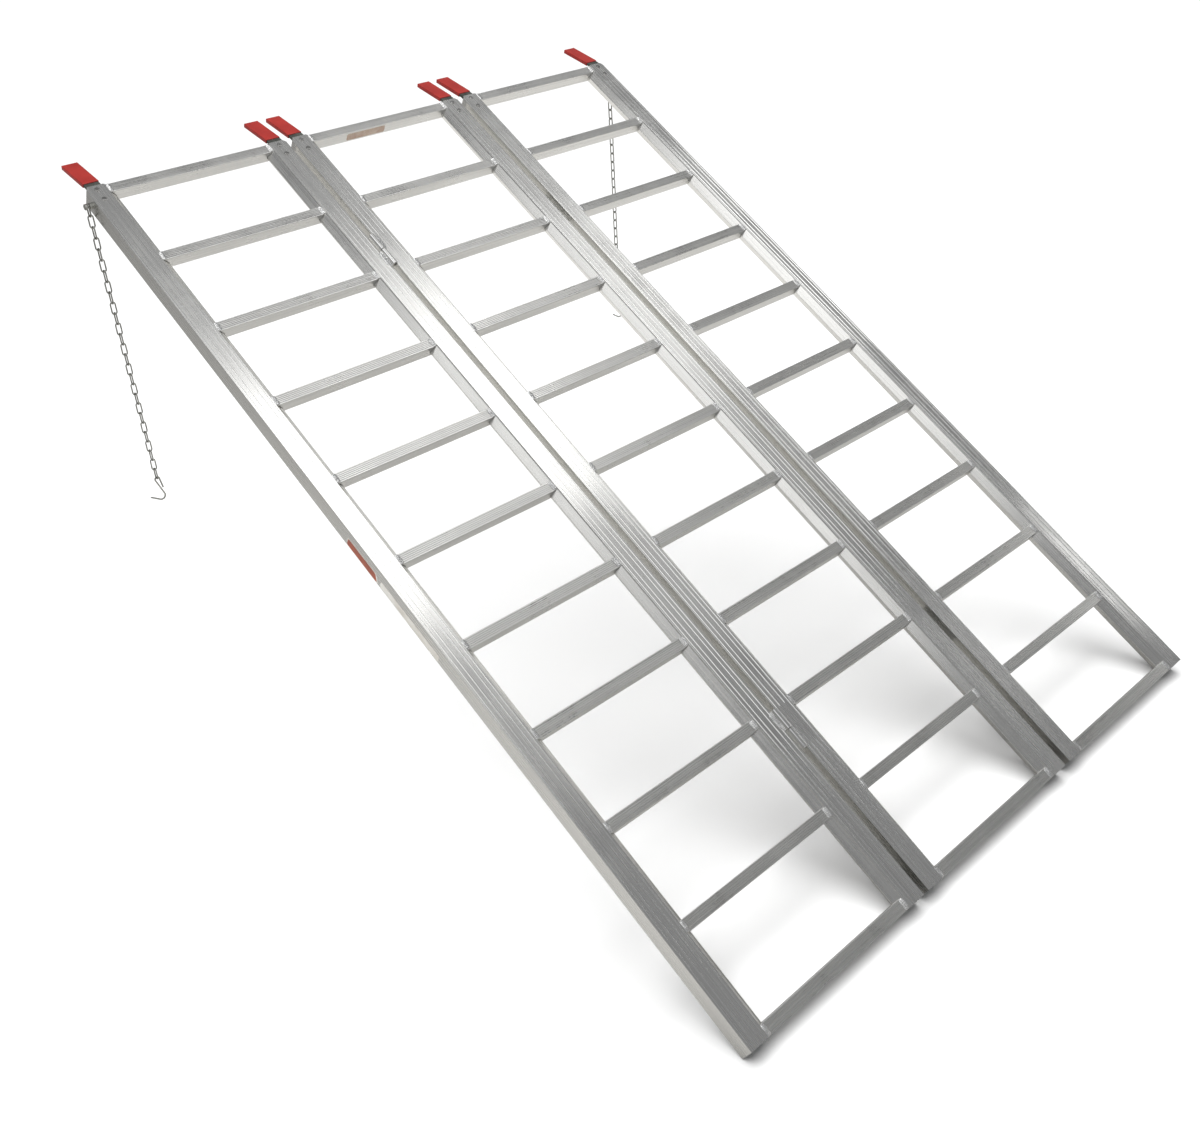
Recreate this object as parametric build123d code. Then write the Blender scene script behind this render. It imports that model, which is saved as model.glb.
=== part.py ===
from build123d import *
import math
import os

# Folding loading ramp: three ladder-like aluminium panels side by side, hinged
# along their long edges so that they fold like a Z. Each panel is two hollow
# nosed rails with eleven grooved rungs welded between them. A steel tongue with
# a dipped coating is riveted inside the top end of each rail, and a safety
# chain with an S-hook hangs from a bolt on each outer rail.
#
# Millimetres. Every panel is drawn in deck coordinates: X across the ramp from
# the left outer edge, Y up the slope from the foot, Z square to the deck with 0
# at the flat top of the rails. The whole ramp is then tilted to its incline,
# and its origin is put at the bottom centre of its box.

# ---- driving dimensions -------------------------------------------------------
RAIL_LENGTH = 1829.0
OVERALL_WIDTH = 1270.0
GAP_LEFT = 12.5
GAP_RIGHT = 14.5
INCLINE = 31.0
RUNGS_PER_PANEL = 11
PANEL_WIDTH = (OVERALL_WIDTH - GAP_LEFT - GAP_RIGHT) / 3

RAIL_HEIGHT = 34.0
RAIL_TOP = 37.2
RAIL_WALL = 2.2
NOSE_REACH = 50.8
NOSE_DEPTH = 14.5
RAIL_FOOT = 38.3
SHOULDER_STEP = 1.4
SHOULDER_DROP = 2.6
EDGE_ROUND = 1.0
RIB_PLACES = (0.58, 0.76)
RIB_WIDTH = 1.1
RIB_HEIGHT = 0.9
RIDGE_PLACES = (4.2, 12.6, 24.6, 33.0)
RIDGE_BASE = 2.2
RIDGE_CREST = 0.6
RIDGE_HEIGHT = 0.6
RIDGE_ROOT = 0.2
RIDGE_FOOT_GAP = 14.0
RIDGE_TOP_GAP = 58.0
OUTER_CLIP_ACROSS = 5.5
OUTER_CLIP_ALONG = 7.0
INNER_CLIP = 2.0

RUNG_WIDTH = 20.5
RUNG_HEIGHT = 22.5
RUNG_DROP = 3.0
RUNG_WALL = 1.8
RUNG_GROOVES = 5
GROOVE_WIDTH = 1.7
GROOVE_DEPTH = 0.8
COPE_GAP = 0.6
RUNG_PITCH = (RAIL_LENGTH - RUNG_WIDTH) / (RUNGS_PER_PANEL - 1)

TONGUE_WIDTH = 28.0
TONGUE_THICK = 5.0
TONGUE_CENTRE = 18.6
TONGUE_INSIDE = 58.0
TONGUE_BEND_AT = 5.0
TONGUE_BEND = 15.8
TONGUE_BEND_RADIUS = 16.0
SLEEVE_START = 12.0
SLEEVE_LENGTH = 79.0
SLEEVE_SKIN = 1.5
SLEEVE_ROUND = 1.1

RIVET_PLACES = (10.4, 35.8)
RIVET_SHANK = 4.8
RIVET_HOLE = 5.0
RIVET_HEAD = 9.5
RIVET_HEAD_HEIGHT = 1.5
RIVET_HEAD_ROUND = 1.2
RIVET_TAIL = 7.4

BARREL_OUTER = 12.0
BARREL_LENGTH = 39.5
BARREL_SPLIT = 1.0
BARREL_CHAMFER = 0.6
HINGE_PLACES = (333.0, 1502.0)
PIN_DIAMETER = 6.0
PIN_PLAY = 0.05
PIN_LENGTH = 74.0
PIN_CHAMFER = 0.5
TOP_HINGE_RISE = 3.3
UNDER_HINGE_DROP = 4.0
GROUND_FLAT_NEAR = 8.4
GROUND_FLAT_FAR = 28.8

LINK_WIRE = 2.7
LINK_INSIDE = 20.4
LINK_OPENING = 6.6
LINK_SLACK = 0.1
LINKS_PER_CHAIN = 27
CHAIN_STAND_OFFS = {"left": 7.3, "right": 10.6}

BOLT_DIAMETER = 6.0
BOLT_HOLE = 6.4
BOLT_FLATS = 10.0
BOLT_HEAD = 4.0
BOLT_SIDE_PLAY = 0.6
HEX_ROUND = 0.25
NUT_HEIGHT = 4.6
NUT_PLAY = 0.02
BOLT_FROM_TOP = 26.0
BOLT_DEPTH = 18.7
BOLT_TAIL = 2.4

HOOK_WIRE = 3.2
HOOK_EYE_RADIUS = 4.6
HOOK_EYE_DROP = 1.2
HOOK_SHORT_LEG = 21.0
HOOK_LONG_LEG = 35.0
HOOK_BEND_RADIUS = 8.0
HOOK_TIP = 20.0
HOOK_HEADINGS = (99.8, 291.2, 148.0)

# ---- where the panels and the hinge lines lie -----------------------------------
MIDDLE_START = PANEL_WIDTH + GAP_LEFT
RIGHT_START = 2 * PANEL_WIDTH + GAP_LEFT + GAP_RIGHT
PANEL_STARTS = {"left": 0.0, "middle": MIDDLE_START, "right": RIGHT_START}
RAIL_NAMES = {
    "left": ("left_rail_outer", "left_rail_inner"),
    "middle": ("middle_rail_left", "middle_rail_right"),
    "right": ("right_rail_inner", "right_rail_outer"),
}
TOP_HINGE_X = PANEL_WIDTH + GAP_LEFT / 2
TOP_HINGE_Z = TOP_HINGE_RISE
UNDER_HINGE_X = RIGHT_START - GAP_RIGHT / 2
UNDER_HINGE_Z = -RAIL_HEIGHT - UNDER_HINGE_DROP


def section_plane(x_edge, inward):
    """Plane square to the rails: local x runs inward from an edge, local y is depth."""
    if inward > 0:
        return Plane(origin=(x_edge, 0, 0), x_dir=(1, 0, 0), z_dir=(0, 1, 0))
    return Plane(origin=(x_edge, RAIL_LENGTH, 0), x_dir=(-1, 0, 0), z_dir=(0, -1, 0))


# ---- rails ------------------------------------------------------------------------
def rail_outline():
    """Outer shape of the hollow rail: upright web, flat top and a pointed inner nose."""
    corners = [
        (0, 0),
        (RAIL_TOP, 0),
        (RAIL_TOP + SHOULDER_STEP, SHOULDER_DROP),
        (NOSE_REACH, NOSE_DEPTH),
        (RAIL_FOOT, RAIL_HEIGHT),
        (0, RAIL_HEIGHT),
    ]
    return make_face(Polyline(*corners, close=True))


def shoulder_ribs():
    """Two fine ribs that run along the sloping shoulder just above the nose."""
    start_x = RAIL_TOP + SHOULDER_STEP
    run = NOSE_REACH - start_x
    fall = NOSE_DEPTH - SHOULDER_DROP
    angle = math.degrees(math.atan2(fall, run))
    ribs = Sketch()
    for along in RIB_PLACES:
        place = Pos(start_x + along * run, SHOULDER_DROP + along * fall)
        ribs += place * Rot(0, 0, angle) * Rectangle(RIB_WIDTH, RIB_HEIGHT)
    return ribs


def ridge(x):
    """One low ridge with sloping flanks that runs along the rail's top face."""
    section = [
        (-RIDGE_BASE / 2, RIDGE_ROOT),
        (-RIDGE_BASE / 2, 0),
        (-RIDGE_CREST / 2, -RIDGE_HEIGHT),
        (RIDGE_CREST / 2, -RIDGE_HEIGHT),
        (RIDGE_BASE / 2, 0),
        (RIDGE_BASE / 2, RIDGE_ROOT),
    ]
    plane = Plane(origin=(x, RIDGE_FOOT_GAP, 0), x_dir=(1, 0, 0), z_dir=(0, 1, 0))
    length = RAIL_LENGTH - RIDGE_FOOT_GAP - RIDGE_TOP_GAP
    return extrude(plane * make_face(Polyline(*section, close=True)), amount=length)


def corner_clip(x, inward, across, along):
    """Wedge that takes a corner off a rail's top end, from its top face to its underside."""
    section = [(x, RAIL_LENGTH), (x + inward * across, RAIL_LENGTH), (x, RAIL_LENGTH - along)]
    section = [(place_x, place_y, -RAIL_HEIGHT) for place_x, place_y in section]
    wedge = extrude(make_face(Polyline(*section, close=True)), amount=2 * RAIL_HEIGHT, dir=(0, 0, 1))
    return wedge


def ground_flats(x_edge, inward):
    """Where the ridges are ground off a rail beside the top hinge's barrels."""
    flats = []
    for place, own_side in zip(HINGE_PLACES, (-1, 1)):
        own_barrel = place + own_side * BARREL_LENGTH / 2
        near = Box(GROUND_FLAT_NEAR, BARREL_LENGTH, 2 * RIDGE_HEIGHT)
        flats.append(Pos(x_edge + inward * GROUND_FLAT_NEAR / 2, own_barrel, RIDGE_HEIGHT) * near)
        far_width = GROUND_FLAT_FAR - GROUND_FLAT_NEAR
        far = Box(far_width, 2 * BARREL_LENGTH, 2 * RIDGE_HEIGHT)
        far_x = x_edge + inward * (GROUND_FLAT_NEAR + far_width / 2)
        flats.append(Pos(far_x, place, RIDGE_HEIGHT) * far)
    return flats


def rail(x_edge, inward, bolted, hinged_on_top):
    """One hollow rail with its ridges, rivet holes and, on an outer rail, a bolt hole."""
    plane = section_plane(x_edge, inward)
    outline = rail_outline()
    rounded = fillet(outline.vertices(), EDGE_ROUND)
    hollow = offset(outline, amount=-RAIL_WALL, kind=Kind.INTERSECTION)
    body = extrude(plane * (rounded + shoulder_ribs() - hollow), amount=RAIL_LENGTH)
    for place in RIDGE_PLACES:
        body += ridge(x_edge + inward * place)
    if hinged_on_top:
        for flat in ground_flats(x_edge, inward):
            body -= flat

    body -= corner_clip(x_edge, inward, OUTER_CLIP_ACROSS, OUTER_CLIP_ALONG)
    body -= corner_clip(x_edge + inward * RAIL_TOP, -inward, INNER_CLIP, INNER_CLIP)
    for place in RIVET_PLACES:
        x = x_edge + inward * TONGUE_CENTRE
        hole = Cylinder(RIVET_HOLE / 2, 4 * RAIL_WALL)
        body -= Pos(x, RAIL_LENGTH - place, 0) * hole

    if bolted:
        hole = Rot(0, 90, 0) * Cylinder(BOLT_HOLE / 2, 4 * RAIL_WALL)
        body -= Pos(x_edge, RAIL_LENGTH - BOLT_FROM_TOP, -BOLT_DEPTH) * hole
    return body


# ---- rungs --------------------------------------------------------------------------
def rung(panel_start):
    """First rung of a panel: a grooved box tube, coped at both ends to the rail noses."""
    blank = Rectangle(RUNG_WIDTH, RUNG_HEIGHT)
    blank = fillet(blank.vertices(), EDGE_ROUND)
    bore = Rectangle(RUNG_WIDTH - 2 * RUNG_WALL, RUNG_HEIGHT - 2 * RUNG_WALL - GROOVE_DEPTH)
    section = blank - Pos(0, -GROOVE_DEPTH / 2) * bore
    groove_pitch = RUNG_WIDTH / (RUNG_GROOVES + 1)
    mouth = GROOVE_WIDTH / 2
    groove = make_face(Polyline((-mouth, 0), (0, -GROOVE_DEPTH), (mouth, 0), close=True))
    for index in range(RUNG_GROOVES):
        across = (index + 1) * groove_pitch - RUNG_WIDTH / 2
        section -= Pos(across, RUNG_HEIGHT / 2) * groove

    middle_z = -RUNG_DROP - RUNG_HEIGHT / 2
    start = (panel_start + RAIL_TOP, RUNG_WIDTH / 2, middle_z)
    plane = Plane(origin=start, x_dir=(0, 1, 0), z_dir=(1, 0, 0))
    tube = extrude(plane * section, amount=PANEL_WIDTH - 2 * RAIL_TOP)

    cope = offset(rail_outline(), amount=COPE_GAP, kind=Kind.INTERSECTION)
    for x_edge, inward in ((panel_start, 1), (panel_start + PANEL_WIDTH, -1)):
        tube -= extrude(section_plane(x_edge, inward) * cope, amount=RAIL_LENGTH)
    return tube


# ---- tongues and their coating --------------------------------------------------------
def tongue_slope():
    """Unit step along the bent part of a tongue, as (y, z)."""
    return math.cos(math.radians(TONGUE_BEND)), -math.sin(math.radians(TONGUE_BEND))


def tongue(x_centre):
    """Steel strip under a rail's top wall, bent down where it leaves the rail."""
    step_y, step_z = tongue_slope()
    reach = SLEEVE_START - TONGUE_BEND_AT + SLEEVE_LENGTH - SLEEVE_SKIN
    start_y = RAIL_LENGTH - TONGUE_INSIDE
    bend_y = RAIL_LENGTH + TONGUE_BEND_AT
    top_z = -RAIL_WALL
    low_z = top_z - TONGUE_THICK
    low_bend_y = bend_y - TONGUE_THICK * math.tan(math.radians(TONGUE_BEND / 2))
    tip = (bend_y + reach * step_y, top_z + reach * step_z)
    low_tip = (tip[0] + TONGUE_THICK * step_z, tip[1] - TONGUE_THICK * step_y)
    upper_line = [(start_y, top_z), (bend_y, top_z), tip]
    lower_line = [low_tip, (low_bend_y, low_z), (start_y, low_z)]
    corners = upper_line + lower_line
    profile = make_face(Polyline(*corners, close=True))
    upper = profile.vertices().sort_by_distance(Vector(bend_y, top_z, 0))[0]
    profile = fillet(upper, TONGUE_BEND_RADIUS + TONGUE_THICK)
    lower = profile.vertices().sort_by_distance(Vector(low_bend_y, low_z, 0))[0]
    profile = fillet(lower, TONGUE_BEND_RADIUS)
    plane = Plane(origin=(x_centre - TONGUE_WIDTH / 2, 0, 0), x_dir=(0, 1, 0), z_dir=(1, 0, 0))
    strip = extrude(plane * profile, amount=TONGUE_WIDTH)
    hole = Cylinder(RIVET_HOLE / 2, 4 * TONGUE_THICK)
    for place in RIVET_PLACES:
        strip -= Pos(x_centre, RAIL_LENGTH - place, top_z) * hole
    return strip


def sleeve(x_centre, strip):
    """Dipped coating round the bent part of a tongue, closed at its tip."""
    step_y, step_z = tongue_slope()
    middle = SLEEVE_START - TONGUE_BEND_AT + SLEEVE_LENGTH / 2
    y = RAIL_LENGTH + TONGUE_BEND_AT + middle * step_y + TONGUE_THICK / 2 * step_z
    z = -RAIL_WALL + middle * step_z - TONGUE_THICK / 2 * step_y
    thick = TONGUE_THICK + 2 * SLEEVE_SKIN
    block = Box(TONGUE_WIDTH + 2 * SLEEVE_SKIN, SLEEVE_LENGTH, thick)
    block = fillet(block.edges(), SLEEVE_ROUND)
    return Pos(x_centre, y, z) * Rot(-TONGUE_BEND, 0, 0) * block - strip


def rivet(x_centre, place):
    """Domed rivet through a rail's top wall and its tongue."""
    grip = RAIL_WALL + TONGUE_THICK
    head = Pos(0, 0, RIVET_HEAD_HEIGHT / 2) * Cylinder(RIVET_HEAD / 2, RIVET_HEAD_HEIGHT)
    head = fillet(head.edges().sort_by(Axis.Z)[-1], RIVET_HEAD_ROUND)
    shank = Pos(0, 0, -grip / 2) * Cylinder(RIVET_SHANK / 2, grip + RIVET_HEAD_HEIGHT)
    tail = Pos(0, 0, -grip - RIVET_HEAD_HEIGHT / 2) * Cylinder(RIVET_TAIL / 2, RIVET_HEAD_HEIGHT)
    return Pos(x_centre, RAIL_LENGTH - place, 0) * (head + shank + tail)


# ---- hinges ---------------------------------------------------------------------------
def along_slope(shape):
    """Turn a shape whose axis is Z so that it lies along the slope."""
    return Rot(90, 0, 0) * shape


def barrel(x, z, hinge_y, upper):
    """One of the two barrels of a weld-on hinge, above or below the hinge's split."""
    shift = (BARREL_LENGTH + BARREL_SPLIT) / 2
    ring = Cylinder(BARREL_OUTER / 2, BARREL_LENGTH)
    ring -= Cylinder(PIN_DIAMETER / 2 + PIN_PLAY, 2 * BARREL_LENGTH)
    outer_edges = ring.edges().filter_by(GeomType.CIRCLE).sort_by(SortBy.RADIUS)[-2:]
    ring = chamfer(outer_edges, BARREL_CHAMFER)
    return Pos(x, hinge_y + (shift if upper else -shift), z) * along_slope(ring)


def hinge_pin(x, z, hinge_y):
    """Pin shared by the two barrels of a hinge, set back inside both ends."""
    pin = Cylinder(PIN_DIAMETER / 2, PIN_LENGTH)
    pin = chamfer(pin.edges().filter_by(GeomType.CIRCLE), PIN_CHAMFER)
    return Pos(x, hinge_y, z) * along_slope(pin)


# ---- chain, hook and chain bolt ----------------------------------------------------------
# These hang plumb, so they are drawn about the bolt with Z upright.
def chain_link():
    """One straight link, long way along Z, flat way across Y."""
    bow = (LINK_OPENING + LINK_WIRE) / 2
    half = (LINK_INSIDE - LINK_OPENING) / 2
    path = Plane.YZ * Wire(
        [
            Line((bow, -half), (bow, half)),
            ThreePointArc((bow, half), (0, half + bow), (-bow, half)),
            Line((-bow, half), (-bow, -half)),
            ThreePointArc((-bow, -half), (0, -half - bow), (bow, -half)),
        ]
    )
    section = Plane(origin=(0, bow, -half), z_dir=(0, 0, 1)) * Circle(LINK_WIRE / 2)
    return sweep(section, path=path)


def chain_drop():
    """From the bolt's axis down to the last link's bottom wire."""
    first = (LINK_INSIDE - LINK_OPENING) / 2
    last = (LINK_INSIDE + LINK_WIRE) / 2
    return first + (LINKS_PER_CHAIN - 1) * (LINK_INSIDE - LINK_SLACK) + last


def chain_links():
    """Every link of a chain, each a quarter turn from the one above."""
    link = chain_link()
    first = (LINK_INSIDE - LINK_OPENING) / 2
    links = []
    for index in range(LINKS_PER_CHAIN):
        drop = first + index * (LINK_INSIDE - LINK_SLACK)
        links.append(Pos(0, 0, -drop) * Rot(0, 0, 90 * (index % 2)) * link)
    return links


def s_hook():
    """S-hook on the last link, hanging with its centre of mass under the link's wire."""
    start_heading, leg_heading, tip_heading = HOOK_HEADINGS
    turn = math.radians(start_heading - 90)
    eye_start = Vector(
        HOOK_EYE_RADIUS * math.cos(turn),
        HOOK_EYE_RADIUS * math.sin(turn) - HOOK_EYE_DROP,
    )
    rise = Vector(1, 0).rotate(Axis.Z, start_heading)
    short_leg = Line(eye_start - rise * HOOK_SHORT_LEG, eye_start)
    eye = JernArc(short_leg @ 1, short_leg % 1, HOOK_EYE_RADIUS, leg_heading - start_heading)
    long_leg = Line(eye @ 1, (eye @ 1) + (eye % 1) * HOOK_LONG_LEG)
    bend = JernArc(long_leg @ 1, long_leg % 1, HOOK_BEND_RADIUS, tip_heading - leg_heading)
    tip = Line(bend @ 1, (bend @ 1) + (bend % 1) * HOOK_TIP)
    path = Plane.XZ * Wire([short_leg, eye, long_leg, bend, tip])
    section = Plane(origin=path @ 0, z_dir=path % 0) * Circle(HOOK_WIRE / 2)
    hook = sweep(section, path=path)
    for end in (path @ 0, path @ 1):
        hook += Pos(*end) * Sphere(HOOK_WIRE / 2)
    centre = hook.center(CenterOf.MASS)
    lean = math.degrees(math.atan2(centre.X, -centre.Z))
    return Rot(0, lean, 0) * hook


def hex_block(height):
    """Hexagonal head or nut, its axis along X and its inner face at X = 0."""
    radius = BOLT_FLATS / 2 / math.cos(math.radians(30))
    block = extrude(RegularPolygon(radius, 6), amount=height)
    round_off = Pos(0, 0, height / 2) * Cylinder(radius - HEX_ROUND, height)
    return Rot(0, 90, 0) * (block & round_off)


def chain_bolt(stand_off):
    """Hex bolt through a rail's outer web, drawn with outward along +X."""
    head_seat = stand_off + LINK_WIRE / 2 + BOLT_SIDE_PLAY
    length = head_seat + RAIL_WALL + NUT_HEIGHT + BOLT_TAIL
    shank = Rot(0, 90, 0) * Cylinder(BOLT_DIAMETER / 2, length)
    return Pos(head_seat - length / 2, 0, 0) * shank + Pos(head_seat, 0, 0) * hex_block(BOLT_HEAD)


def chain_nuts():
    """Jam nut outside the web and nut inside the rail, drawn with outward along +X."""
    bore = Rot(0, 90, 0) * Cylinder(BOLT_DIAMETER / 2 + NUT_PLAY, 8 * NUT_HEIGHT)
    nut = hex_block(NUT_HEIGHT) - bore
    return [nut, Pos(-RAIL_WALL - NUT_HEIGHT, 0, 0) * nut]


# ---- gather the pieces in deck coordinates --------------------------------------------------
def panel_nodes(panel):
    """Rails, rungs, tongues, sleeves and rivets of one panel."""
    start = PANEL_STARTS[panel]
    edges = ((start, 1), (start + PANEL_WIDTH, -1))
    nodes = {}
    for name, (x_edge, inward) in zip(RAIL_NAMES[panel], edges):
        bolted = name.endswith("outer")
        hinged_on_top = name == "middle_rail_left"
        nodes[name] = [rail(x_edge, inward, bolted, hinged_on_top)]
    first = rung(start)
    for index in range(RUNGS_PER_PANEL):
        nodes[f"{panel}_rung_{index + 1:02d}"] = [Pos(0, index * RUNG_PITCH, 0) * first]
    centres = [x_edge + inward * TONGUE_CENTRE for x_edge, inward in edges]
    strips = [tongue(x) for x in centres]
    nodes[f"{panel}_tongues"] = strips
    nodes[f"{panel}_tongue_sleeves"] = [sleeve(x, strip) for x, strip in zip(centres, strips)]
    nodes[f"{panel}_tongue_rivets"] = [rivet(x, place) for x in centres for place in RIVET_PLACES]
    return nodes


def hinge_nodes():
    """Barrels on each panel and the four pins; each panel is captive between opposed pairs."""
    low, high = HINGE_PLACES
    left = [
        barrel(TOP_HINGE_X, TOP_HINGE_Z, high, False),
        barrel(TOP_HINGE_X, TOP_HINGE_Z, low, True),
    ]
    right = [
        barrel(UNDER_HINGE_X, UNDER_HINGE_Z, high, False),
        barrel(UNDER_HINGE_X, UNDER_HINGE_Z, low, True),
    ]
    middle = []
    pins = []
    for x, z in ((TOP_HINGE_X, TOP_HINGE_Z), (UNDER_HINGE_X, UNDER_HINGE_Z)):
        middle += [barrel(x, z, high, True), barrel(x, z, low, False)]
        pins += [hinge_pin(x, z, low), hinge_pin(x, z, high)]
    return {
        "left_hinge_barrels": left,
        "right_hinge_barrels": right,
        "middle_hinge_barrels": middle,
        "hinge_pins": pins,
    }


def deck_bolt_place(side):
    """Where a chain bolt crosses the plane of its web, and its outward direction."""
    x = 0.0 if side == "left" else OVERALL_WIDTH
    return Pos(x, RAIL_LENGTH - BOLT_FROM_TOP, -BOLT_DEPTH), (180 if side == "left" else 0)


def bolt_nodes(side):
    """Bolt and nuts that hold one chain, in deck coordinates."""
    place, turn = deck_bolt_place(side)
    return {
        f"{side}_chain_bolt": [place * Rot(0, 0, turn) * chain_bolt(CHAIN_STAND_OFFS[side])],
        f"{side}_chain_nuts": [place * Rot(0, 0, turn) * nut for nut in chain_nuts()],
    }


deck_nodes = {}
for panel_name in PANEL_STARTS:
    deck_nodes.update(panel_nodes(panel_name))
deck_nodes.update(hinge_nodes())
for side_name in ("left", "right"):
    deck_nodes.update(bolt_nodes(side_name))

# ---- tilt the deck, hang the chains plumb, and set the origin -----------------------------------
tilt = Rot(INCLINE, 0, 0)
nodes = {name: [tilt * solid for solid in solids] for name, solids in deck_nodes.items()}
for side_name in ("left", "right"):
    place, turn = deck_bolt_place(side_name)
    outward = -1 if turn else 1
    bolt = (tilt * place).position
    hang = Pos(bolt.X + outward * CHAIN_STAND_OFFS[side_name], bolt.Y, bolt.Z)
    nodes[f"{side_name}_chain"] = [hang * link for link in chain_links()]
    nodes[f"{side_name}_s_hook"] = [hang * Pos(0, 0, -chain_drop()) * s_hook()]

whole = Compound([solid for solids in nodes.values() for solid in solids])
box = whole.bounding_box()
ORIGIN = Vector((box.min.X + box.max.X) / 2, (box.min.Y + box.max.Y) / 2, box.min.Z)

os.makedirs("parts", exist_ok=True)
for name, solids in nodes.items():
    moved = [Pos(*(-ORIGIN)) * solid for solid in solids]
    shape = moved[0] if len(moved) == 1 else Compound(moved)
    export_step(shape, f"parts/{name}.step")
print("nodes", len(nodes), "box", box.size, "origin", ORIGIN)
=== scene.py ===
import math
from collections import namedtuple

import bmesh
import bpy
from mathutils import Matrix, Vector, noise

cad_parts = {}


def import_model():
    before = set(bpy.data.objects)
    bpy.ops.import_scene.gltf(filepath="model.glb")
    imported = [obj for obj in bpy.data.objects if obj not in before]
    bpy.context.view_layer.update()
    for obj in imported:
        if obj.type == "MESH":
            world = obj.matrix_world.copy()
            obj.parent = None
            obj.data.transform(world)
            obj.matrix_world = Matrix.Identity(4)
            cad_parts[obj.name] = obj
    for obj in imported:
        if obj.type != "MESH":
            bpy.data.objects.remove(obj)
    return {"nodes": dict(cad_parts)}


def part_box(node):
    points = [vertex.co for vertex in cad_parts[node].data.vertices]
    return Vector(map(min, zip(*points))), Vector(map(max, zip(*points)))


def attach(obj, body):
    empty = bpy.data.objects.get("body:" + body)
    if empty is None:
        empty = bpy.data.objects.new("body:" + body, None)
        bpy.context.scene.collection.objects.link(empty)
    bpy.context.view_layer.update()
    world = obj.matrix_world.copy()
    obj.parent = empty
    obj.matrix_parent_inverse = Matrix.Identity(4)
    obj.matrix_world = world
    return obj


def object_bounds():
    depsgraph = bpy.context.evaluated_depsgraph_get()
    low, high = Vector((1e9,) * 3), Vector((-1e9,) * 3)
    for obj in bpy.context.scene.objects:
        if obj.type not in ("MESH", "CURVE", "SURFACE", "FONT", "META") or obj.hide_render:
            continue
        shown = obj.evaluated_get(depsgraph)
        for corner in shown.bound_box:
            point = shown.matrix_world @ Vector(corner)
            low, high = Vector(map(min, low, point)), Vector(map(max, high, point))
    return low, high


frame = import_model()
cad_low, cad_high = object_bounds()

# ---- the ramp's own directions and sizes (metres) -----------------------------------
INCLINE = math.radians(31.0)
ACROSS = Vector((1, 0, 0))
UP_SLOPE = Vector((0, math.cos(INCLINE), math.sin(INCLINE)))
OFF_DECK = Vector((0, -math.sin(INCLINE), math.cos(INCLINE)))

RAIL_HEIGHT = 0.034
RAIL_TOP = 0.0372
RAIL_LENGTH = 1.829
RUNG_WIDTH = 0.0205
RUNG_DROP = 0.003
RUNG_HEIGHT = 0.0225
HINGE_PLACES = (0.333, 1.502)
BARREL_LENGTH = 0.0395
BARREL_SPLIT = 0.001

outer_low, outer_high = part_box("left_rail_outer")
DECK_ORIGIN = Vector((outer_low.x, outer_low.y, outer_low.z + RAIL_HEIGHT * math.cos(INCLINE)))

PANELS = {
    "left": ("left_rail_outer", "left_rail_inner"),
    "middle": ("middle_rail_left", "middle_rail_right"),
    "right": ("right_rail_inner", "right_rail_outer"),
}
RUNGS = 11


def on_deck(x, y, z=0.0):
    """Point at x across, y up the slope and z off the deck's flat top."""
    return DECK_ORIGIN + ACROSS * x + UP_SLOPE * y + OFF_DECK * z


def panel_edges(panel):
    """Outer edges of a panel, as distances across the deck."""
    left_rail, right_rail = PANELS[panel]
    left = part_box(left_rail)[0].x - DECK_ORIGIN.x
    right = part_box(right_rail)[1].x - DECK_ORIGIN.x
    return left, right


# ---- material building blocks ----------------------------------------------------------
# Keeps a grain's direction from being exactly the normal of a cut end.
OFF_SQUARE = Vector((0.02, 0.01, 0.02))


def add(tree, kind, inputs=None, **settings):
    """New shader node with its settings, and its inputs given as values or sockets."""
    made = tree.nodes.new(kind)
    for key, value in settings.items():
        setattr(made, key, value)
    for key, value in (inputs or {}).items():
        if isinstance(value, bpy.types.NodeSocket):
            tree.links.new(value, made.inputs[key])
        else:
            made.inputs[key].default_value = value
    return made


def new_material(name, **shader_values):
    """Material with a principled shader, and plain values for the sockets named."""
    material = bpy.data.materials.new(name)
    material.use_nodes = True
    tree = material.node_tree
    shader = tree.nodes["Principled BSDF"]
    for key, value in shader_values.items():
        shader.inputs[key.replace("_", " ")].default_value = value
    return material, tree, shader


def deck_vector(tree, scale):
    """Object coordinates turned to the deck and stretched: across, up the slope, off it."""
    place = add(tree, "ShaderNodeTexCoord").outputs["Object"]
    turned = add(tree, "ShaderNodeMapping", {"Vector": place, "Rotation": (-INCLINE, 0, 0)})
    sized = add(tree, "ShaderNodeMapping", {"Vector": turned.outputs[0], "Scale": scale})
    return sized.outputs[0]


def noise_at(tree, scale, detail=2.0, roughness=0.5, distortion=0.0):
    """Noise factor in stretched deck coordinates."""
    inputs = {
        "Vector": deck_vector(tree, scale),
        "Scale": 1.0,
        "Detail": detail,
        "Roughness": roughness,
        "Distortion": distortion,
    }
    return add(tree, "ShaderNodeTexNoise", inputs).outputs["Fac"]


def spread(tree, value, low, high, from_low=0.3, from_high=0.7):
    """Value taken from one range to another and clamped."""
    inputs = {"Value": value, 1: from_low, 2: from_high, 3: low, 4: high}
    return add(tree, "ShaderNodeMapRange", inputs).outputs["Result"]


def mix_colour(tree, factor, first, second, blend="MIX"):
    """Mix of two colours, each a value or a socket."""
    mixer = add(tree, "ShaderNodeMix", {0: factor}, data_type="RGBA", blend_type=blend)
    for socket, value in ((mixer.inputs[6], first), (mixer.inputs[7], second)):
        if isinstance(value, bpy.types.NodeSocket):
            tree.links.new(value, socket)
        else:
            socket.default_value = (*value, 1.0)
    return mixer.outputs[2]


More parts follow.
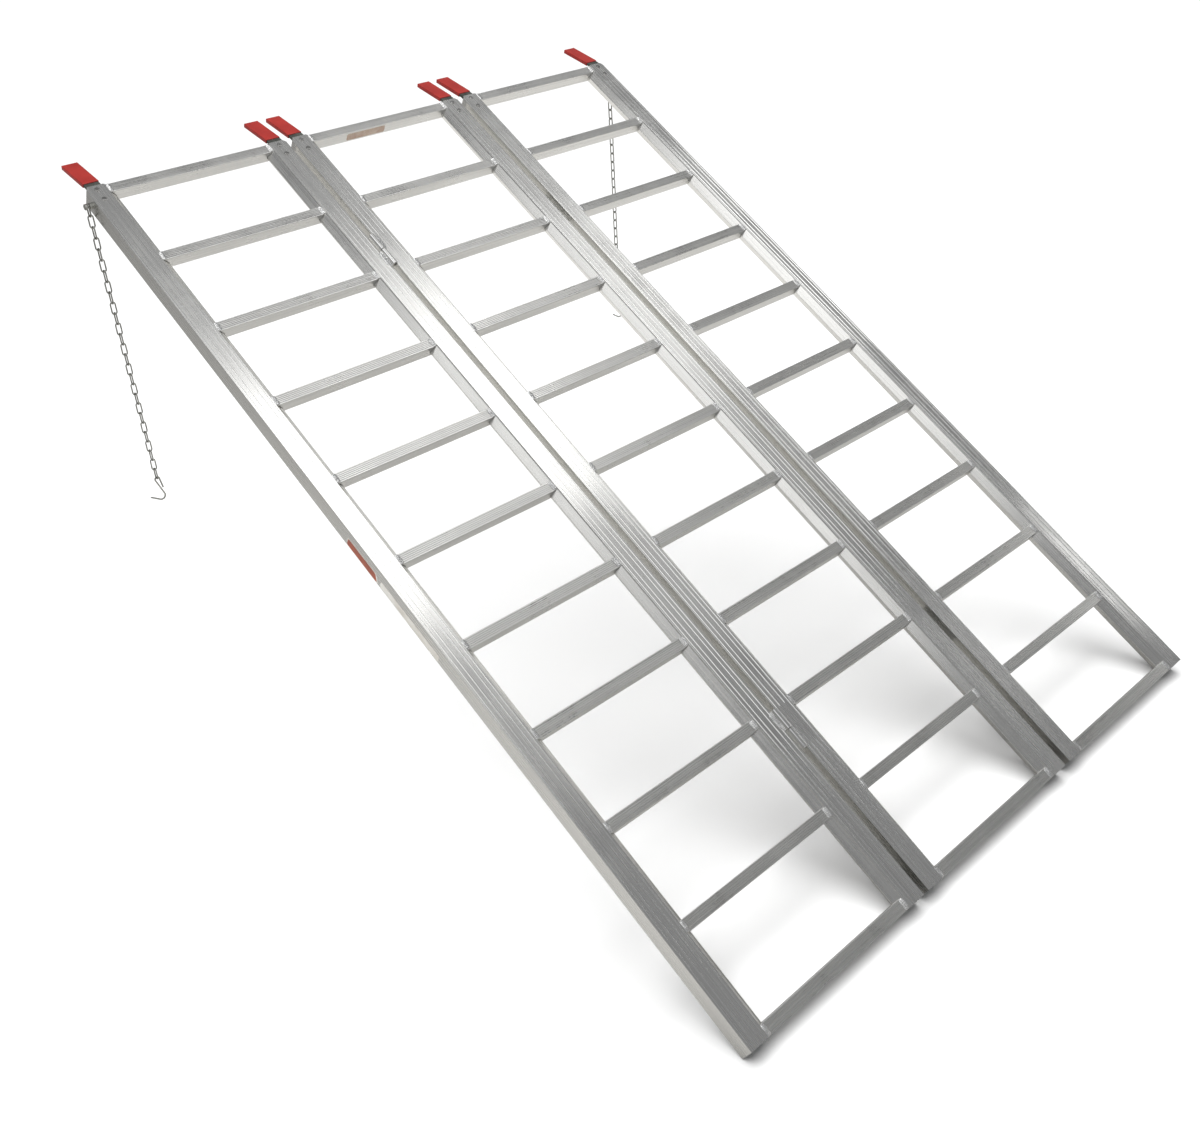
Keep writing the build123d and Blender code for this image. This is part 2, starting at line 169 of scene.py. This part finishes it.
def sum_of(tree, *values):
    """Sum of several numbers, each a value or a socket."""
    total = values[0]
    for value in values[1:]:
        total = add(tree, "ShaderNodeMath", {0: total, 1: value}, operation="ADD").outputs[0]
    return total


def times(tree, value, factor):
    """Product of two numbers, each a value or a socket."""
    return add(tree, "ShaderNodeMath", {0: value, 1: factor}, operation="MULTIPLY").outputs[0]


def bump(tree, height, distance, strength=1.0):
    """Normal that follows a height, with the height's reach in metres."""
    inputs = {"Height": height, "Distance": distance, "Strength": strength}
    return add(tree, "ShaderNodeBump", inputs).outputs["Normal"]


def feed(tree, shader, colour=None, roughness=None, normal=None):
    """Link the varied inputs of a shader."""
    for key, socket in (("Base Color", colour), ("Roughness", roughness), ("Normal", normal)):
        if socket is not None:
            tree.links.new(socket, shader.inputs[key])


def toned(colour, tone):
    """Colour made lighter or darker."""
    return tuple(tone * channel for channel in colour)


def grain_direction(tree, shader, direction):
    """Turn the shader's uneven gloss so that the metal's lines run along a direction."""
    x, y, z = direction + OFF_SQUARE
    local = add(tree, "ShaderNodeCombineXYZ", {"X": x, "Y": y, "Z": z}).outputs[0]
    settings = {"vector_type": "VECTOR", "convert_from": "OBJECT", "convert_to": "WORLD"}
    world = add(tree, "ShaderNodeVectorTransform", {"Vector": local}, **settings)
    tree.links.new(world.outputs[0], shader.inputs["Tangent"])


def painted_highlight_flanks(tree):
    """Painted highlight mask: 1 on the narrow flanks that slope left or right between the deck's flat
    faces.
    """
    normal = add(tree, "ShaderNodeNewGeometry").outputs["True Normal"]
    settings = {"vector_type": "NORMAL", "convert_from": "WORLD", "convert_to": "OBJECT"}
    local = add(tree, "ShaderNodeVectorTransform", {"Vector": normal}, **settings).outputs[0]
    sideways = add(tree, "ShaderNodeSeparateXYZ", {"Vector": local}).outputs["X"]
    tilt = add(tree, "ShaderNodeMath", {0: sideways}, operation="ABSOLUTE").outputs[0]
    leaning = spread(tree, tilt, 0.0, 1.0, 0.25, 0.45)
    upright = spread(tree, tilt, 1.0, 0.0, 0.64, 0.70)
    return add(tree, "ShaderNodeMath", {0: leaning, 1: upright}, operation="MULTIPLY").outputs[0]


# ---- materials ---------------------------------------------------------------------------
ALUMINIUM_DARK = (0.70, 0.695, 0.675)
ALUMINIUM_LIGHT = (0.83, 0.825, 0.80)
ALUMINIUM_SCUFF = (0.50, 0.48, 0.45)
# Painted highlight colour for the sloping flanks of the extrusions.
ALUMINIUM_PAINTED_HIGHLIGHT = (0.92, 0.92, 0.90)


def aluminium(name, lines_along, tone=1.0, roughness=0.3, anisotropy=0.75):
    """Extruded aluminium: die lines along its length, handling marks and a dull bloom."""
    material, tree, shader = new_material(
        name, Metallic=1.0, Anisotropic=anisotropy, Anisotropic_Rotation=0.25
    )
    grain_direction(tree, shader, lines_along)
    if lines_along == UP_SLOPE:
        fine, die, streak = (2400, 5, 2400), (420, 1.2, 420), (90, 0.7, 90)
    else:
        fine, die, streak = (5, 2400, 2400), (1.2, 520, 520), (2.5, 160, 160)
    fine_lines = noise_at(tree, fine, detail=2.0)
    die_lines = noise_at(tree, die, detail=3.0, roughness=0.6)
    streaks = noise_at(tree, streak, detail=2.0)
    bloom = noise_at(tree, (14, 9, 14), detail=5.0, roughness=0.62)
    scuffs = noise_at(tree, (160, 190, 160), detail=6.0, roughness=0.7, distortion=0.6)

    shade = sum_of(
        tree,
        times(tree, die_lines, 0.6),
        times(tree, streaks, 0.25),
        times(tree, bloom, 0.15),
    )
    varied = spread(tree, shade, 0.0, 1.0, 0.36, 0.62)
    colour = mix_colour(tree, varied, toned(ALUMINIUM_DARK, tone), toned(ALUMINIUM_LIGHT, tone))
    marks = spread(tree, scuffs, 0.0, 0.12, 0.64, 0.82)
    colour = mix_colour(tree, marks, colour, toned(ALUMINIUM_SCUFF, tone))
    rough = sum_of(
        tree,
        spread(tree, bloom, roughness - 0.05, roughness + 0.07),
        spread(tree, die_lines, -0.04, 0.06),
        times(tree, marks, 0.3),
    )
    # Painted highlight: flanks sloping left or right get a lighter colour and lower roughness.
    edges = painted_highlight_flanks(tree)
    colour = mix_colour(tree, edges, colour, toned(ALUMINIUM_PAINTED_HIGHLIGHT, tone))
    rough = sum_of(tree, rough, times(tree, edges, -0.09))
    height = sum_of(tree, die_lines, times(tree, fine_lines, 0.3))
    feed(tree, shader, colour, rough, bump(tree, height, 0.00008, 0.12))
    return material


def dark_steel():
    """Bare hot-rolled strip: near-black scale rubbed grey."""
    material, tree, shader = new_material("dark_steel_strip", Metallic=0.85)
    scale = noise_at(tree, (55, 40, 55), detail=6.0, roughness=0.65)
    rubbed = noise_at(tree, (420, 60, 420), detail=4.0, roughness=0.6)
    clouds = spread(tree, scale, 0.0, 1.0, 0.35, 0.65)
    colour = mix_colour(tree, clouds, (0.09, 0.10, 0.085), (0.20, 0.205, 0.185))
    colour = mix_colour(tree, spread(tree, rubbed, 0.0, 0.5, 0.55, 0.75), colour, (0.36, 0.36, 0.34))
    rough = spread(tree, scale, 0.36, 0.58)
    feed(tree, shader, colour, rough, bump(tree, sum_of(tree, scale, rubbed), 0.00015, 0.3))
    return material


def red_vinyl():
    """Dipped vinyl: soft gloss, faint orange peel, slightly scuffed."""
    material, tree, shader = new_material(
        "red_dipped_vinyl", Specular_IOR_Level=0.45, Coat_Weight=0.15, Coat_Roughness=0.25
    )
    cloud = noise_at(tree, (30, 26, 30), detail=4.0)
    peel = noise_at(tree, (420, 420, 420), detail=3.0)
    scuffs = noise_at(tree, (140, 900, 140), detail=5.0, roughness=0.7)
    colour = mix_colour(tree, spread(tree, cloud, 0.0, 1.0), (0.27, 0.012, 0.008), (0.36, 0.021, 0.014))
    marks = spread(tree, scuffs, 0.0, 0.25, 0.6, 0.8)
    colour = mix_colour(tree, marks, colour, (0.40, 0.06, 0.045))
    rough = sum_of(tree, spread(tree, cloud, 0.30, 0.40), times(tree, marks, 0.6))
    feed(tree, shader, colour, rough, bump(tree, peel, 0.00012, 0.35))
    return material


def plain_metal(name, dark, light, roughness, grain=260, pits=0.00006):
    """Small metal parts: cloudy plating with pits and worn, brighter spots."""
    material, tree, shader = new_material(name, Metallic=1.0)
    cloud = noise_at(tree, (grain / 3, grain / 3, grain / 3), detail=5.0, roughness=0.62)
    speck = noise_at(tree, (grain * 5, grain * 5, grain * 5), detail=3.0)
    colour = mix_colour(tree, spread(tree, cloud, 0.0, 1.0, 0.34, 0.66), dark, light)
    colour = mix_colour(tree, spread(tree, speck, 0.0, 0.5, 0.56, 0.75), colour, toned(light, 1.25))
    rough = sum_of(
        tree,
        spread(tree, cloud, roughness - 0.06, roughness + 0.1),
        spread(tree, speck, -0.03, 0.05),
    )
    feed(tree, shader, colour, rough, bump(tree, sum_of(tree, cloud, speck), pits, 0.4))
    return material


def weld_metal():
    """Fresh aluminium weld: bright ripples with smoky edges."""
    material, tree, shader = new_material("weld_metal", Metallic=1.0)
    soot = noise_at(tree, (330, 330, 330), detail=5.0, roughness=0.65)
    cloud = noise_at(tree, (90, 90, 90), detail=3.0)
    colour = mix_colour(tree, spread(tree, cloud, 0.0, 1.0), (0.84, 0.84, 0.83), (0.97, 0.97, 0.96))
    colour = mix_colour(tree, spread(tree, soot, 0.0, 0.8, 0.58, 0.74), colour, (0.20, 0.19, 0.18))
    rough = spread(tree, soot, 0.12, 0.28)
    feed(tree, shader, colour, rough, bump(tree, soot, 0.0002, 0.4))
    return material


def label_film(name, dark, light):
    """Printed plastic label, blank, a little faded and scuffed."""
    material, tree, shader = new_material(name, Specular_IOR_Level=0.5)
    fade = noise_at(tree, (60, 22, 60), detail=5.0, roughness=0.65)
    scratch = noise_at(tree, (900, 60, 900), detail=4.0, roughness=0.7)
    colour = mix_colour(tree, spread(tree, fade, 0.0, 1.0, 0.35, 0.65), dark, light)
    marks = spread(tree, scratch, 0.0, 0.4, 0.6, 0.8)
    colour = mix_colour(tree, marks, colour, (0.62, 0.60, 0.56))
    rough = sum_of(tree, spread(tree, fade, 0.32, 0.5), times(tree, marks, 0.3))
    feed(tree, shader, colour, rough, bump(tree, scratch, 0.00004, 0.3))
    return material


RAIL_METAL = aluminium("rail_aluminium", UP_SLOPE, roughness=0.25, anisotropy=0.55)
RUNG_METAL = aluminium("rung_aluminium", ACROSS, roughness=0.30, anisotropy=0.55)
# Painted highlight: the barrels get a lit, lighter copy of the rail aluminium (tone 1.12).
BARREL_METAL_PAINTED_LIGHTER = aluminium("barrel_aluminium", UP_SLOPE, tone=1.12, roughness=0.16, anisotropy=0.2)
STRIP_METAL = dark_steel()
RED_VINYL = red_vinyl()
RIVET_METAL = plain_metal("rivet_steel", (0.34, 0.335, 0.32), (0.55, 0.545, 0.53), 0.17)
PIN_METAL = plain_metal("pin_steel", (0.20, 0.20, 0.19), (0.38, 0.38, 0.37), 0.4)
ZINC_METAL = plain_metal("zinc_chain", (0.32, 0.32, 0.295), (0.52, 0.52, 0.49), 0.34)
WELD_METAL = weld_metal()
RED_LABEL = label_film("label_red", (0.24, 0.05, 0.025), (0.42, 0.10, 0.05))
PALE_LABEL = label_film("label_pale", (0.62, 0.58, 0.52), (0.80, 0.78, 0.73))
BROWN_LABEL = label_film("label_brown", (0.40, 0.27, 0.20), (0.52, 0.42, 0.34))


def material_for(node_name):
    """The finish of a CAD node, from its name."""
    finishes = (
        ("_rung_", RUNG_METAL),
        ("_sleeves", RED_VINYL),
        ("_rivets", RIVET_METAL),
        ("_tongues", STRIP_METAL),
        ("_barrels", BARREL_METAL_PAINTED_LIGHTER),
        ("hinge_pins", PIN_METAL),
        ("_rail_", RAIL_METAL),
    )
    for part, finish in finishes:
        if part in node_name:
            return finish
    return ZINC_METAL


for node_name, cad_object in frame["nodes"].items():
    cad_object.data.materials.clear()
    cad_object.data.materials.append(material_for(node_name))


# ---- welds ------------------------------------------------------------------------------
BEAD_STEP = 0.0005
BEAD_COLUMNS = 14
BEAD_SINK = 0.0012
BEAD_END_ROUNDNESS = 0.28
RIPPLE_PITCH = 0.0021
RIPPLE_DEPTH = 0.42
RIPPLE_BOW = 0.35


def add_bead(mesh, start, end, outward, width, height, seed, pitch=RIPPLE_PITCH):
    """Rippled weld bead between two points, flat underneath, heaped along outward."""
    along = end - start
    length = along.length
    along.normalize()
    side = along.cross(outward).normalized()
    stations = max(8, round(length / BEAD_STEP))
    rows = []
    for i in range(stations + 1):
        t = i / stations
        taper = math.sin(math.pi * t) ** BEAD_END_ROUNDNESS if 0 < t < 1 else 0.0
        wander = noise.noise(Vector((seed * 7.3, t * 5.0, 0.0)))
        swell = 1 + 0.16 * noise.noise(Vector((seed * 3.1, t * 4.0, 4.0)))
        row = []
        for j in range(BEAD_COLUMNS + 1):
            s = 2 * j / BEAD_COLUMNS - 1
            bow = RIPPLE_BOW * pitch * (1 - s * s)
            phase = ((t * length + bow) / pitch + 0.4 * wander) % 1.0
            ripple = 1.0 - RIPPLE_DEPTH * (1 - phase) ** 2
            heap = math.sqrt(max(0.0, 1 - s * s)) ** 0.8 * ripple * taper
            grain = noise.noise(Vector((seed, t * 26.0, s * 5.0)))
            point = start + along * (t * length)
            point += side * (s * width / 2 * swell * (0.55 + 0.45 * taper))
            point += outward * (height * heap * (1 + 0.2 * grain + 0.1 * wander))
            row.append(mesh.verts.new(point))
        rows.append(row)
    sink = outward * -BEAD_SINK
    under = [[mesh.verts.new(row[0].co + sink), mesh.verts.new(row[-1].co + sink)] for row in rows]
    for i in range(stations):
        for j in range(BEAD_COLUMNS):
            mesh.faces.new((rows[i][j], rows[i][j + 1], rows[i + 1][j + 1], rows[i + 1][j]))
        mesh.faces.new((under[i][0], rows[i][0], rows[i + 1][0], under[i + 1][0]))
        mesh.faces.new((rows[i][-1], under[i][1], under[i + 1][1], rows[i + 1][-1]))
        mesh.faces.new((under[i][1], under[i][0], under[i + 1][0], under[i + 1][1]))
    mesh.faces.new((*reversed(rows[0]), under[0][0], under[0][1]))
    mesh.faces.new((*rows[-1], under[-1][1], under[-1][0]))


def mesh_piece(name, mesh, material, body, smooth=True):
    """Object made from a bmesh, with a finish, riding on a body."""
    bmesh.ops.recalc_face_normals(mesh, faces=mesh.faces)
    data = bpy.data.meshes.new(name)
    mesh.to_mesh(data)
    mesh.free()
    for face in data.polygons:
        face.use_smooth = smooth
    data.materials.append(material)
    piece = bpy.data.objects.new(name, data)
    bpy.context.scene.collection.objects.link(piece)
    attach(piece, body)
    return piece


def rung_places():
    """Middles of the rungs up the slope, from the foot."""
    pitch = (RAIL_LENGTH - RUNG_WIDTH) / (RUNGS - 1)
    return [RUNG_WIDTH / 2 + index * pitch for index in range(RUNGS)]


# How far a rung's bead lies past the rail's flat top, its width and height, how far it leans
# towards the panel's middle, and the face of the rung that it lies on.
RungBead = namedtuple("RungBead", "past_rail width height lean z off")
RUNG_BEADS = (
    RungBead(0.0044, 0.0105, 0.0032, 0.22, -RUNG_DROP, OFF_DECK),
    RungBead(0.0075, 0.0080, 0.0026, 0.30, 0.0004 - RUNG_DROP - RUNG_HEIGHT, -OFF_DECK),
)
RUNG_BEAD_REACH = 0.47 * RUNG_WIDTH


def rung_welds(panel, number):
    """Beads over the top and under the bottom of both ends of every rung of a panel."""
    mesh = bmesh.new()
    left, right = panel_edges(panel)
    for index, middle in enumerate(rung_places()):
        low, high = middle - RUNG_BEAD_REACH, middle + RUNG_BEAD_REACH
        for edge, inward in ((left, 1), (right, -1)):
            seed = number * 100 + index * 4 + inward
            for step, bead in enumerate(RUNG_BEADS):
                x = edge + inward * (RAIL_TOP + bead.past_rail)
                lean = (bead.off + ACROSS * (bead.lean * inward)).normalized()
                start, end = on_deck(x, low, bead.z), on_deck(x, high, bead.z)
                add_bead(mesh, start, end, lean, bead.width, bead.height, seed + 2 * step)
    return mesh_piece(f"{panel}_rung_welds", mesh, WELD_METAL, f"{panel}_panel")


# How far a hinge's bead lies in from the rail's edge, its width and height, and how much
# shorter than the barrel it is at its lower end.
HingeBead = namedtuple("HingeBead", "inset width height trim")
HINGE_BEADS = (
    HingeBead(0.0008, 0.0095, 0.0052, 0.0),
    HingeBead(0.0046, 0.0065, 0.0026, 0.007),
)
HINGE_BEAD_LIFT = 0.0003
HINGE_BEAD_LEAN = 0.25
HINGE_BEAD_UPPER_TRIM = 0.4
HINGE_RIPPLE_PITCH = 0.0031


def hinge_welds(panel, number):
    """Beads that hold a panel's hinge barrels to the edges of its rails."""
    mesh = bmesh.new()
    left, right = panel_edges(panel)
    top = (HINGE_BEAD_LIFT, OFF_DECK)
    under = (-RAIL_HEIGHT - HINGE_BEAD_LIFT, -OFF_DECK)
    seams = {
        "left": ((right, -1, top, 1),),
        "middle": ((left, 1, top, -1), (right, -1, under, -1)),
        "right": ((left, 1, under, 1),),
    }
    for edge, inward, (z, off), low_side in seams[panel]:
        for place, side in zip(HINGE_PLACES, (low_side, -low_side)):
            low = place + (side * (BARREL_LENGTH + BARREL_SPLIT) - BARREL_LENGTH) / 2
            seed = number * 50 + place * 10 + inward
            lean = (off + ACROSS * (HINGE_BEAD_LEAN * inward)).normalized()
            for bead in HINGE_BEADS:
                x = edge + inward * bead.inset
                start = on_deck(x, low + bead.trim, z)
                end = on_deck(x, low + BARREL_LENGTH - HINGE_BEAD_UPPER_TRIM * bead.trim, z)
                bead_seed = seed + bead.trim * 400
                add_bead(mesh, start, end, lean, bead.width, bead.height, bead_seed, HINGE_RIPPLE_PITCH)
    return mesh_piece(f"{panel}_hinge_welds", mesh, WELD_METAL, f"{panel}_panel")


for number, panel in enumerate(PANELS):
    rung_welds(panel, number)
    hinge_welds(panel, number)


# ---- blank labels -----------------------------------------------------------------------
LABEL_THICKNESS = 0.0002
LABEL_CORNER = 0.0016
LABEL_GAP = 0.00005
RUNG_LABEL_ACROSS = (0.549, 0.642)
RUNG_LABEL_BELOW_TOP = (0.0190, 0.0035)


def label(name, corners, outward, material, body, lift=0.0):
    """Thin stuck-on sheet with softened corners, from its corner points."""
    mesh = bmesh.new()
    bottom = [mesh.verts.new(corner + outward * lift) for corner in corners]
    mesh.faces.new(bottom)
    bmesh.ops.bevel(mesh, geom=list(mesh.verts), offset=LABEL_CORNER, segments=4, affect="VERTICES")
    made = bmesh.ops.extrude_face_region(mesh, geom=list(mesh.faces))
    risen = [item for item in made["geom"] if isinstance(item, bmesh.types.BMVert)]
    bmesh.ops.translate(mesh, verts=risen, vec=outward * LABEL_THICKNESS)
    return mesh_piece(name, mesh, material, body, smooth=False)


def web_label(name, material, along, height, slant=0.0, lift=0.0):
    """Label on the left outer web: its ends up the slope, its edges off the deck."""
    low, high = along
    bottom, top = height
    corners = [
        on_deck(-LABEL_GAP, low, bottom),
        on_deck(-LABEL_GAP, high, bottom),
        on_deck(-LABEL_GAP, high, top),
        on_deck(-LABEL_GAP, low + slant, top),
    ]
    return label(name, corners, -ACROSS, material, "left_panel", lift)


def rung_label():
    """Label on the front of the middle panel's top rung."""
    left, right = RUNG_LABEL_ACROSS
    bottom, top = (-RUNG_DROP - below for below in RUNG_LABEL_BELOW_TOP)
    front = rung_places()[-1] - RUNG_WIDTH / 2 - LABEL_GAP
    corners = [
        on_deck(left, front, bottom),
        on_deck(right, front, bottom),
        on_deck(right, front, top),
        on_deck(left, front, top),
    ]
    return label("rung_label", corners, -UP_SLOPE, BROWN_LABEL, "middle_panel")


web_label("side_label_border", PALE_LABEL, (0.904, 0.995), (-0.0325, -0.0160), slant=0.010)
web_label(
    "side_label_red", RED_LABEL, (0.908, 0.993), (-0.0312, -0.0172), slant=0.009, lift=LABEL_THICKNESS
)
web_label("side_label_strip", PALE_LABEL, (0.741, 0.900), (-0.0315, -0.0180))
rung_label()


# ---- camera, floor and light ------------------------------------------------------------
DECK_MIDDLE = (0.635, 0.9)
CAMERA_PLACE = DECK_ORIGIN + Vector((-0.932342, -0.781063, 1.553556))
CAMERA_FORWARD = Vector((0.56841, 0.63338, -0.52512)).normalized()
CAMERA_DOWN = Vector((-0.39319, -0.35153, -0.84961))
SENSOR = 36.0
LENS = 39.53


def camera():
    """Camera above and left of the foot, looking up across the deck."""
    data = bpy.data.cameras.new("camera")
    data.sensor_fit = "HORIZONTAL"
    data.sensor_width = SENSOR
    data.lens = LENS
    data.clip_end = 200
    made = bpy.data.objects.new("camera", data)
    bpy.context.scene.collection.objects.link(made)
    right = CAMERA_DOWN.cross(CAMERA_FORWARD).normalized()
    up = right.cross(CAMERA_FORWARD)
    rotation = Matrix((right, up, -CAMERA_FORWARD)).transposed().to_4x4()
    made.matrix_world = Matrix.Translation(CAMERA_PLACE) @ rotation
    bpy.context.scene.camera = made


def floor():
    """Plain pale floor with a painted reflection: glossy rays see it darker, as painted shade standing
    in for flags at its sides and the shadow under the ramp.
    """
    bpy.ops.mesh.primitive_plane_add(size=60, location=(0, 0, -0.001))
    plane = bpy.context.object
    plane.name = "studio_floor"
    material, tree, shader = new_material("studio_floor", Roughness=0.9)
    place = add(tree, "ShaderNodeTexCoord").outputs["Object"]
    xyz = add(tree, "ShaderNodeSeparateXYZ", {"Vector": place})
    # Painted reflection: to glossy rays the floor lightens towards the ramp's left edge, and from the
    # ramp's foot to its top.
    beside = spread(tree, xyz.outputs["X"], 0.26, 0.56, cad_low.x - 1.0, cad_low.x)
    under = spread(tree, xyz.outputs["Y"], 0.36, 0.72, cad_low.y, cad_high.y)
    is_under = spread(tree, xyz.outputs["X"], 0.0, 1.0, cad_low.x - 0.05, cad_low.x + 0.05)
    mirrored = add(tree, "ShaderNodeMix", {0: is_under, 2: beside, 3: under}).outputs[0]
    channels = {0: mirrored, 1: times(tree, mirrored, 0.985), 2: times(tree, mirrored, 0.955)}
    grey = add(tree, "ShaderNodeCombineColor", channels).outputs[0]
    # Painted reflection: glossy rays get the darker grey, other rays the even pale floor.
    glossy_ray = add(tree, "ShaderNodeLightPath").outputs["Is Glossy Ray"]
    colour = mix_colour(tree, glossy_ray, (0.93, 0.93, 0.925), grey)
    feed(tree, shader, colour)
    plane.data.materials.append(material)


def area_light(name, size, radiance, place, turn):
    """Rectangular light of even brightness at a place, with its turn as a matrix."""
    data = bpy.data.lights.new(name, "AREA")
    data.shape = "RECTANGLE"
    data.size, data.size_y = size
    data.energy = radiance * math.pi * data.size * data.size_y
    light = bpy.data.objects.new(name, data)
    bpy.context.scene.collection.objects.link(light)
    light.matrix_world = Matrix.Translation(place) @ turn


def softbox(name, middle, size, lift, spin, radiance):
    """Light whose mirror image in the deck covers a patch, given across and up the slope."""
    to_deck = (CAMERA_PLACE - DECK_ORIGIN).dot(OFF_DECK)
    mirrored_eye = CAMERA_PLACE - OFF_DECK * (2 * to_deck)
    centre = mirrored_eye + (on_deck(*middle) - mirrored_eye) * lift
    axes = Matrix((ACROSS, UP_SLOPE, OFF_DECK)).transposed().to_4x4()
    turn = axes @ Matrix.Rotation(spin, 4, "Z")
    area_light(name, (size[0] * lift, size[1] * lift), radiance, centre, turn)


def side_light(name, direction, distance, size, radiance):
    """Light off to one side of the deck, aimed at its middle."""
    direction = direction.normalized()
    place = on_deck(*DECK_MIDDLE) + direction * distance
    area_light(name, size, radiance, place, direction.to_track_quat("Z", "Y").to_matrix().to_4x4())


def skylight(strength, softness):
    """Broad light from above that whitens the floor and isn't mirrored in the metal."""
    data = bpy.data.lights.new("skylight", "SUN")
    data.energy = strength
    data.angle = softness
    light = bpy.data.objects.new("skylight", data)
    bpy.context.scene.collection.objects.link(light)
    light.rotation_euler = (math.radians(-8), math.radians(-6), 0)
    light.visible_glossy = False


def world(strength):
    """Even pale surroundings."""
    made = bpy.data.worlds.new("studio")
    bpy.context.scene.world = made
    made.use_nodes = True
    background = made.node_tree.nodes["Background"]
    background.inputs["Color"].default_value = (0.97, 0.98, 1.0, 1)
    background.inputs["Strength"].default_value = strength


camera()
floor()
world(strength=0.27)
skylight(strength=2.9, softness=math.radians(70))
softbox("overhead_softbox", (0.10, 1.08), (1.20, 0.50), lift=2.2, spin=math.radians(9), radiance=1.65)
softbox("overhead_glow", (0.20, 1.12), (1.50, 1.25), lift=2.25, spin=math.radians(9), radiance=0.20)
softbox("side_softbox", (1.42, 0.27), (0.38, 0.30), lift=2.0, spin=0.0, radiance=2.2)
side_light("left_softbox", Vector((-0.58, -0.10, 0.80)), distance=2.7, size=(2.3, 2.0), radiance=0.85)

bpy.context.scene.view_settings.view_transform = "Standard"
